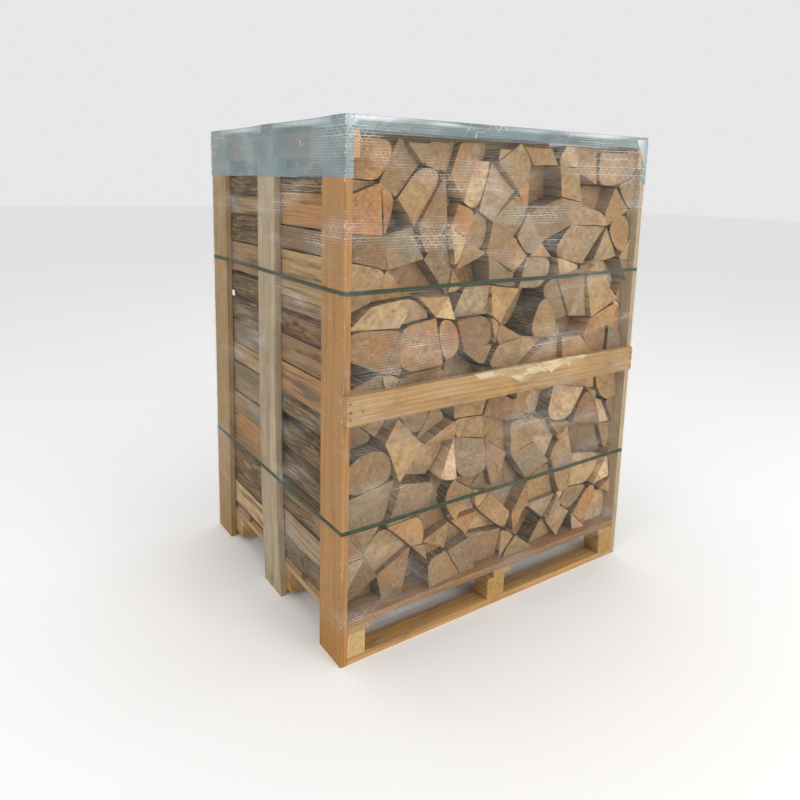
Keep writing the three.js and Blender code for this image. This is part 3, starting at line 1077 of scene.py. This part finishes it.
def strap_path(half_x, half_y):
    """Places round a rectangle with rounded corners, each with its outward angle."""
    bends = []
    for corner, (sx, sy) in enumerate(((-1, -1), (1, -1), (1, 1), (-1, 1))):
        x, y = sx * (half_x - STRAP_RADIUS), sy * (half_y - STRAP_RADIUS)
        for k in range(5):
            angle = math.radians(180 + 90 * corner) + math.radians(90) * k / 4
            bends.append((x + STRAP_RADIUS * math.cos(angle), y + STRAP_RADIUS * math.sin(angle), angle))
    path = []
    for (x, y, angle), (x2, y2, _) in zip(bends, bends[1:] + bends[:1]):
        pieces = max(1, round(math.dist((x, y), (x2, y2)) / STRAP_STEP))
        path += [(x + (x2 - x) * k / pieces, y + (y2 - y) * k / pieces, angle) for k in range(pieces)]
    return path


def make_strap(node, material):
    """A flat strap pulled tight round the posts, rounded where it turns a corner."""
    low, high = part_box(node)
    middle = (low[2] + high[2]) / 2
    edge = (high[2] - low[2]) / 2
    profile = [(0, -edge), (STRAP_THICKNESS, -edge + 0.0006), (STRAP_THICKNESS, edge - 0.0006), (0, edge)]
    path = strap_path(high[0] - STRAP_INSET, high[1] - STRAP_INSET)
    points = []
    for x, y, angle in path:
        lift = 0.0012 * math.sin(9 * x + 7 * y)
        for out, up in profile:
            points.append((x + out * math.cos(angle), y + out * math.sin(angle), middle + up + lift))
    faces = loft_faces(len(profile), len(path), closed=True)
    stand_for(mesh_piece(node + "_band", points, faces, [material]), node)


# ---- film cover ----

FILM_OFF = 0.0009  # how far the film stands off the crate
FILM_STEP = 0.0075
FILM_FLAP = 0.024  # width of the skirt's flap round each corner
FILM_HEM = 0.038
SKIRT_ROWS = 24
SMALL_PLEAT = (0.034, 0.040)  # width at the top and height
LARGE_PLEAT = (0.056, 0.100)
SIDES = (-1, 1)


def film_material():
    """Thin milky film: blue grey, partly see-through, with painted highlights: white along its creases and
    where the film's highlight attribute is set.
    """
    material, t, shader = new_material("cover_film", roughness=0.2, specular=0.7)
    place = t.object_place()
    cloud = t.ramp(t.noise(place, 5.0), 0.3, 0.7)
    leaning = t.turned(place, Rotation=(0.5, 0.35, 0.2))
    folds = t.noise(leaning, (6.0, 6.0, 15.0), 3.0, 0.5, 0.8)
    crease_with_glint = t.times(t.ramp(t.gap(folds, 0.5), 0.016, 0.0), t.ramp(t.noise(place, 4.0, 2.0), 0.50, 0.60))
    ripples = t.noise(place, (14.0, 14.0, 34.0), 4.0, 0.6, 0.6)
    milky = t.mix(cloud, linear(104, 138, 150), linear(130, 162, 172))
    # painted highlights: near white where the film's highlight attribute is set and along the creases
    edge = t.attribute("film_painted_highlight", "Fac")
    milky = t.mix(edge, milky, linear(240, 246, 246))
    t.feed(shader["Base Color"], t.tint(crease_with_glint, 0.8, milky, linear(236, 240, 242)))
    alpha = t.plus(t.plus(0.54, t.times(cloud, 0.14)), t.times(edge, 0.25))
    t.feed(shader["Alpha"], t.plus(alpha, t.times(crease_with_glint, 0.2), clamp=True))
    height = t.plus(t.times(ripples, 0.5), t.times(crease_with_glint, 0.7))
    add_bump(t, shader, t.plus(height, folds), 0.8, 0.006)
    return material


def between(spans, y):
    """0 over a span, rising to 1 halfway between two neighbouring spans."""
    for (_, start), (end, _) in zip(spans, spans[1:]):
        if start < y < end:
            s = (y - start) / (end - start)
            return 4 * s * (1 - s)
    return 0.0


def film_sag(x, y):
    """How far the film hangs between the beams at a place on the top."""
    inward = min(1.0, min(x - CRATE_LEFT, CRATE_RIGHT - x) / 0.25)
    return 0.022 * between(BEAMS, y) * (0.08 + 0.92 * max(0.0, inward))


def crumple(seed):
    """A few crossing ridges that wrinkle the film, as a function of two lengths in metres."""
    rng = random.Random(seed)
    ranges = ((8, 70), (-70, 70), (0, FULL_TURN), (0.3, 1.0))
    waves = [[rng.uniform(*pair) for pair in ranges] for _ in range(9)]

    def height(u, v):
        return sum(size * math.sin(a * u + b * v + phase) for a, b, phase, size in waves) / 9

    return height


def grid_lines(start, end):
    """Places along one side of the film, with a close pair where the corner flap ends."""
    count = round((end - start - 2 * FILM_FLAP) / FILM_STEP)
    inner = [start + FILM_FLAP + (end - start - 2 * FILM_FLAP) * k / count for k in range(count + 1)]
    ramp = [start, start + 0.33 * FILM_FLAP, start + 0.66 * FILM_FLAP]
    mirror = [start + end - x for x in ramp[::-1]]
    return ramp + [inner[0] - 0.0004] + inner + [inner[-1] + 0.0004] + mirror


class Film:
    """The film's points and faces, and the painted highlight at each point."""

    def __init__(self):
        self.points, self.faces, self.bright = [], [], {}

    def add(self, point, bright=0.0):
        """Adds a point; returns its index."""
        self.bright[len(self.points)] = bright
        self.points.append(point)
        return len(self.points) - 1


def add_corner_pleat(film, corner, facing, size):
    """The folded triangle of spare film that lies against the front or back at a corner."""
    x, y, top = corner
    sx, sy = facing
    rows = 8
    first = len(film.points)
    for k in range(rows + 1):
        s = k / rows
        width = size[0] * (1 - 0.9 * s) * (1 + 0.06 * math.sin(9 * s))
        z = top - 0.004 - size[1] * s
        for m in range(4):
            u = m / 3
            puff = 0.0012 + 0.0035 * math.sin(math.pi * u) * (1 - 0.6 * s)
            spot = (x - sx * 0.002 - sx * width * u, y + sy * puff, z - 0.006 * u * (1 - s))
            # painted highlight on the pleat, strongest towards its outer edge and top
            film.add(spot, 0.25 + 0.6 * u * (1 - s))
    for k in range(rows):
        for m in range(3):
            a = first + k * 4 + m
            face = (a, a + 4, a + 5, a + 1)
            film.faces.append(face if sx * sy > 0 else face[::-1])


def make_cover(material):
    """One sheet: a sagging top, skirts that wrap the corner posts, and short hems in front and behind."""
    x0, x1 = CRATE_LEFT - FILM_OFF, CRATE_RIGHT + FILM_OFF
    y0, y1 = CRATE_FRONT - FILM_OFF, CRATE_BACK + FILM_OFF
    top = CRATE_TOP + 0.0012
    xs, ys = grid_lines(x0, x1), grid_lines(y0, y1)
    nx, ny = len(xs) - 1, len(ys) - 1
    wrinkle = crumple(3)
    film = Film()
    grid = {}
    for i, x in enumerate(xs):
        for j, y in enumerate(ys):
            rim = min(1.0, min(x - x0, x1 - x, y - y0, y1 - y) / 0.03)
            sag = film_sag(x, y)
            z = top - sag + 0.0022 * wrinkle(x, y) * rim - 0.0004 * rim
            z = z if sag > 0.002 else max(z, CRATE_TOP + 0.0005)
            grid[i, j] = film.add((x, y, z))
    for i in range(nx):
        for j in range(ny):
            film.faces.append((grid[i, j], grid[i + 1, j], grid[i + 1, j + 1], grid[i, j + 1]))

    # the rim of the top, walked anticlockwise seen from above, with its outward direction
    rim = [(i, 0, 0, -1) for i in range(nx)] + [(nx, j, 1, 0) for j in range(ny)]
    rim += [(nx - i, ny, 0, 1) for i in range(nx)] + [(0, ny - j, -1, 0) for j in range(ny)]
    side_drop = top - COVER_LOW[2] - 0.004
    columns = []
    for i, j, ox, oy in rim:
        x, y, z = film.points[grid[i, j]]
        is_hem = ox == 0 and min(x - x0, x1 - x) > FILM_FLAP - 0.0002
        uneven = 0.0009 * math.sin(15 * (x + y)) + 0.0006 * math.sin(43 * (x - y))
        drop = (FILM_HEM if is_hem else side_drop) + uneven
        if i in (0, nx) and j in (0, ny):
            ox, oy = (1 if i else -1), (1 if j else -1)
        on_side = ox and not oy
        slack = between(POSTS, y) if on_side else 0.0
        shoulder = between(BEAMS, y) if on_side else 0.0
        run = (x + y) if ox == 0 else (y - x)
        column = [grid[i, j]]
        for k in range(1, SKIRT_ROWS + 1):
            s = k / SKIRT_ROWS
            fall = drop * s
            ripple = 0.5 + 0.5 * wrinkle(run * 1.7, fall * 3.0)
            bulge = 0.0003 + 0.0013 * ripple * min(1.0, k / 3)
            depth = slack * (0.0035 + 0.004 * wrinkle(run * 1.3 + 2, fall * 6.0))
            dip = depth * math.sin(math.pi * min(1.0, s * 1.2))
            curl = -0.007 * shoulder * max(0.0, 1 - fall / 0.012) ** 2
            out = bulge - max(0.0, dip) + curl
            # painted highlight: a pale band along the rim between the beams on the sides, and pale streaks at
            # the top of the hems
            if on_side:
                bright = 0.95 * shoulder**0.5 * max(0.0, 1 - abs(fall - 0.010) / 0.007)
            else:
                hem_glint = 0.5 + 0.9 * noise.noise(Vector((x * 7, y * 7, fall * 60)))
                bright = min(0.8, max(0.0, hem_glint)) * max(0.0, min(1.0, 2 - fall / 0.009))
            column.append(film.add((x + ox * out, y + oy * out, z - (z - (top - drop)) * s), bright))
        if shoulder:
            film.points[grid[i, j]] = (x - ox * 0.007 * shoulder, y, z)
        columns.append(column)
    for a, b in zip(columns, columns[1:] + columns[:1]):
        for k in range(SKIRT_ROWS):
            film.faces.append((a[k], a[k + 1], b[k + 1], b[k]))
    for sx in SIDES:
        for sy in SIDES:
            size = SMALL_PLEAT if sx == sy else LARGE_PLEAT
            add_corner_pleat(film, (sx * x1, sy * y1, top), (sx, sy), size)

    piece = mesh_piece("film_cover", film.points, film.faces, [material])
    mesh = piece.data
    mesh.polygons.foreach_set("use_smooth", [True] * len(mesh.polygons))
    mesh.set_sharp_from_angle(angle=math.radians(50))
    set_point_values(piece, "film_painted_highlight", film.bright)
    stand_for(piece, "top_cover")


# ---- net wrap ----

# distance from the posts, length of one zigzag, height of one course of the knit, thread width
FINE_TURN = (0.0026, 0.020, 0.0078, 0.0006)
LOOSE_TURN = (0.0036, 0.028, 0.026, 0.0010)
KNOT_STAND = 0.0022
KNOTS_PER_CORNER = 110


def net_material(name, least, spread, low, high):
    """Pale plastic thread in clear and dense patches, densest where more turns overlap near the top."""
    material, t, shader = new_material(name)
    place = t.object_place()
    worn = t.ramp(t.noise(place, 40.0, 3.0), 0.35, 0.7)
    t.feed(shader["Base Color"], t.mix(worn, linear(236, 236, 230), linear(198, 198, 188)))
    t.feed(shader["Roughness"], t.plus(0.22, t.times(worn, 0.3)))
    x, _, z = t.split(place)
    more_turns = t.times(t.ramp(z, 1.05, 1.5), t.ramp(x, -0.75, 0.35))
    uneven = t.plus(t.noise(place, (3.4, 3.4, 11.0)), t.times(t.minus(z, 0.9), 0.06))
    patch = t.ramp(t.plus(uneven, t.times(more_turns, 0.10)), low, high)
    t.feed(shader["Alpha"], t.plus(least, t.times(patch, spread)))
    return material


def build_net_tree(name, material):
    """Knits one wall of net: a grid of stitches, each a level thread and a zigzag, set out over the rail."""
    _, stitch_length, course_height, thread_width = FINE_TURN
    sizes = {
        "Wall Length": 1.0,
        "Wall Height": 1.0,
        "Stitch Length": stitch_length,
        "Course Height": course_height,
        "Thread Width": thread_width,
        "Looseness": 0.0016,
        "Rail Centre": 0.5,
        "Rail Reach": 0.1,
        "Rail Proud": 0.0,
    }
    group, t, given = new_shape_tree(name, sizes)

    def thread(length, angle, x, y):
        feeds = {"Size X": length, "Size Y": given["Thread Width"], "Vertices X": 2, "Vertices Y": 2}
        strip = t.add("GeometryNodeMeshGrid", feeds).outputs["Mesh"]
        turned, moved = t.combine(0.0, 0.0, angle), t.combine(x, y, 0.0)
        feeds = {"Geometry": strip, "Rotation": turned, "Translation": moved}
        return t.add("GeometryNodeTransform", feeds).outputs[0]

    stitch, course = given["Stitch Length"], given["Course Height"]
    half = t.times(stitch, 0.5)
    slope = t.math("SQRT", t.plus(t.times(half, half), t.times(course, course)))
    angle = t.math("ARCTAN2", course, half)
    mid_height = t.times(course, 0.5)
    one_stitch = t.add("GeometryNodeJoinGeometry")
    for piece in (
        thread(stitch, 0.0, half, 0.0),
        thread(slope, angle, t.times(stitch, 0.25), mid_height),
        thread(slope, t.times(angle, -1.0), t.times(stitch, 0.75), mid_height),
    ):
        t.feed(one_stitch.inputs[0], piece)

    feeds = {
        "Size X": t.minus(given["Wall Length"], stitch),
        "Size Y": t.minus(given["Wall Height"], course),
        "Vertices X": t.math("FLOOR", t.math("DIVIDE", given["Wall Length"], stitch)),
        "Vertices Y": t.math("FLOOR", t.math("DIVIDE", given["Wall Height"], course)),
    }
    spread = t.add("GeometryNodeMeshGrid", feeds).outputs["Mesh"]
    knit = t.add("GeometryNodeInstanceOnPoints", {"Points": spread, "Instance": one_stitch.outputs[0]})
    whole = t.add("GeometryNodeRealizeInstances", {"Geometry": knit.outputs[0]})

    # set out over the rail, and pulled about a little
    place = t.add("GeometryNodeInputPosition").outputs[0]
    from_rail = t.gap(t.split(place)[1], given["Rail Centre"])
    slope_start = t.minus(given["Rail Reach"], 0.055)
    feeds = {0: from_rail, 1: given["Rail Reach"], 2: slope_start, 3: 0.0, 4: given["Rail Proud"]}
    tent = t.add("ShaderNodeMapRange", feeds).outputs[0]
    feeds = {"Vector": place, "Scale": 7.0, "Detail": 4.0, "Roughness": 0.75, "W": given["Seed"]}
    stir = t.add("ShaderNodeTexNoise", feeds, noise_dimensions="4D").outputs["Color"]
    centred = t.vector("SUBTRACT", stir, (0.5, 0.5, 0.5))
    pulled = t.scaled(t.stretch(centred, (2.0, 3.6, 0.6)), given["Looseness"])
    pulled = t.vector("ADD", pulled, t.combine(0.0, 0.0, tent))
    moved = t.add("GeometryNodeSetPosition", {"Geometry": whole.outputs[0], "Offset": pulled})
    end_shape_tree(t, moved.outputs[0], material)
    return group


def build_knot_tree(material):
    """Puts a small knot of thread on every point."""
    knot = ("GeometryNodeMeshIcoSphere", {"Subdivisions": 1})
    sizes = ((0.4, 0.4, 0.5), (1.1, 1.1, 2.4))
    return build_scatter_tree("net_knots", material, "Knot Radius", knot, (0.0, 0.0, 0.0), sizes)


def make_net(fine, loose, bunched):
    """Four walls of fine knit, each with a looser turn over it, and knots where thread bunches at corners."""
    turns = [
        ("fine", build_net_tree("fine_knit", fine), *FINE_TURN),
        ("loose", build_net_tree("loose_knit", loose), *LOOSE_TURN),
    ]
    height = NET_HIGH[2] - NET_LOW[2]
    middle_z = (NET_HIGH[2] + NET_LOW[2]) / 2
    rail_z = (RAIL_LOW[2] + RAIL_HIGH[2]) / 2 - middle_z
    reach = (RAIL_HIGH[2] - RAIL_LOW[2]) / 2 + 0.058
    proud = CRATE_FRONT - RAIL_LOW[1] + 0.0012
    width, depth = CRATE_RIGHT - CRATE_LEFT, CRATE_BACK - CRATE_FRONT
    walls = [
        ("front", width, proud, (0.0, CRATE_FRONT), (0, -1), 0.0),
        ("right", depth, 0.0, (CRATE_RIGHT, 0.0), (1, 0), 90.0),
        ("back", width, proud, (0.0, CRATE_BACK), (0, 1), 180.0),
        ("left", depth, 0.0, (CRATE_LEFT, 0.0), (-1, 0), 270.0),
    ]
    upright = Matrix.Rotation(math.radians(90), 4, "X")
    for number, (side, length, rail_proud, place, facing, heading) in enumerate(walls):
        for name, tree, stand, stitch, course, thread in turns:
            values = {
                "Wall Length": length + 2 * stand,
                "Wall Height": height - 0.6 * course,
                "Stitch Length": stitch,
                "Course Height": course,
                "Thread Width": thread,
                "Looseness": 0.12 * course + 0.0008,
                "Rail Centre": rail_z,
                "Rail Reach": reach,
                "Rail Proud": rail_proud,
                "Seed": number,
            }
            piece = run_tree(f"net_{name}_{side}", tree, values)
            spot = (place[0] + facing[0] * stand, place[1] + facing[1] * stand, middle_z)
            turned = Matrix.Rotation(math.radians(heading), 4, "Z") @ upright
            piece.data.transform(Matrix.Translation(spot) @ turned @ Matrix.Translation((-stitch / 2, 0, 0)))
            stand_for(piece, "net_wrap")

    rng = random.Random(31)
    knot_x, knot_y = CRATE_RIGHT + KNOT_STAND, CRATE_BACK + KNOT_STAND
    spots = []
    for sx in SIDES:
        for sy in SIDES:
            for _ in range(KNOTS_PER_CORNER):
                z = NET_HIGH[2] - (height - 0.02) * rng.random() ** 1.4
                slip = rng.uniform(-0.0015, 0.0015)
                spots.append((sx * knot_x + slip, sy * knot_y - slip, z))
    knots = run_tree("net_knots", build_knot_tree(bunched), {"Knot Radius": 0.0013, "Seed": 4}, spots)
    stand_for(knots, "net_wrap")


# ---- make it all ----

make_camera()
make_studio()
dress_boards(build_sawn_wood())

log_tone = build_log_tone()
log_materials = [log_end_material(log_tone), log_split_material(log_tone), log_bark_material()]
make_log_row("logs_front_row", 11, log_materials, -1)
make_log_row("logs_back_row", 47, log_materials, 1)

nail_tree = build_nail_tree(nail_material())
for seed, node in enumerate(("mid_rail_front", "mid_rail_back"), 5):
    make_mid_rail(node, add_torn_patch(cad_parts[node].data.materials[0]), nail_tree, seed)

green = strap_material()
make_strap("strap_lower", green)
make_strap("strap_upper", green)
make_cover(film_material())

fine_thread = net_material("net_thread", 0.26, 0.62, 0.44, 0.72)
loose_thread = net_material("net_thread_loose", 0.02, 0.85, 0.54, 0.7)
make_net(fine_thread, loose_thread, net_material("net_thread_bunched", 0.45, 0.5, 0.4, 0.6))
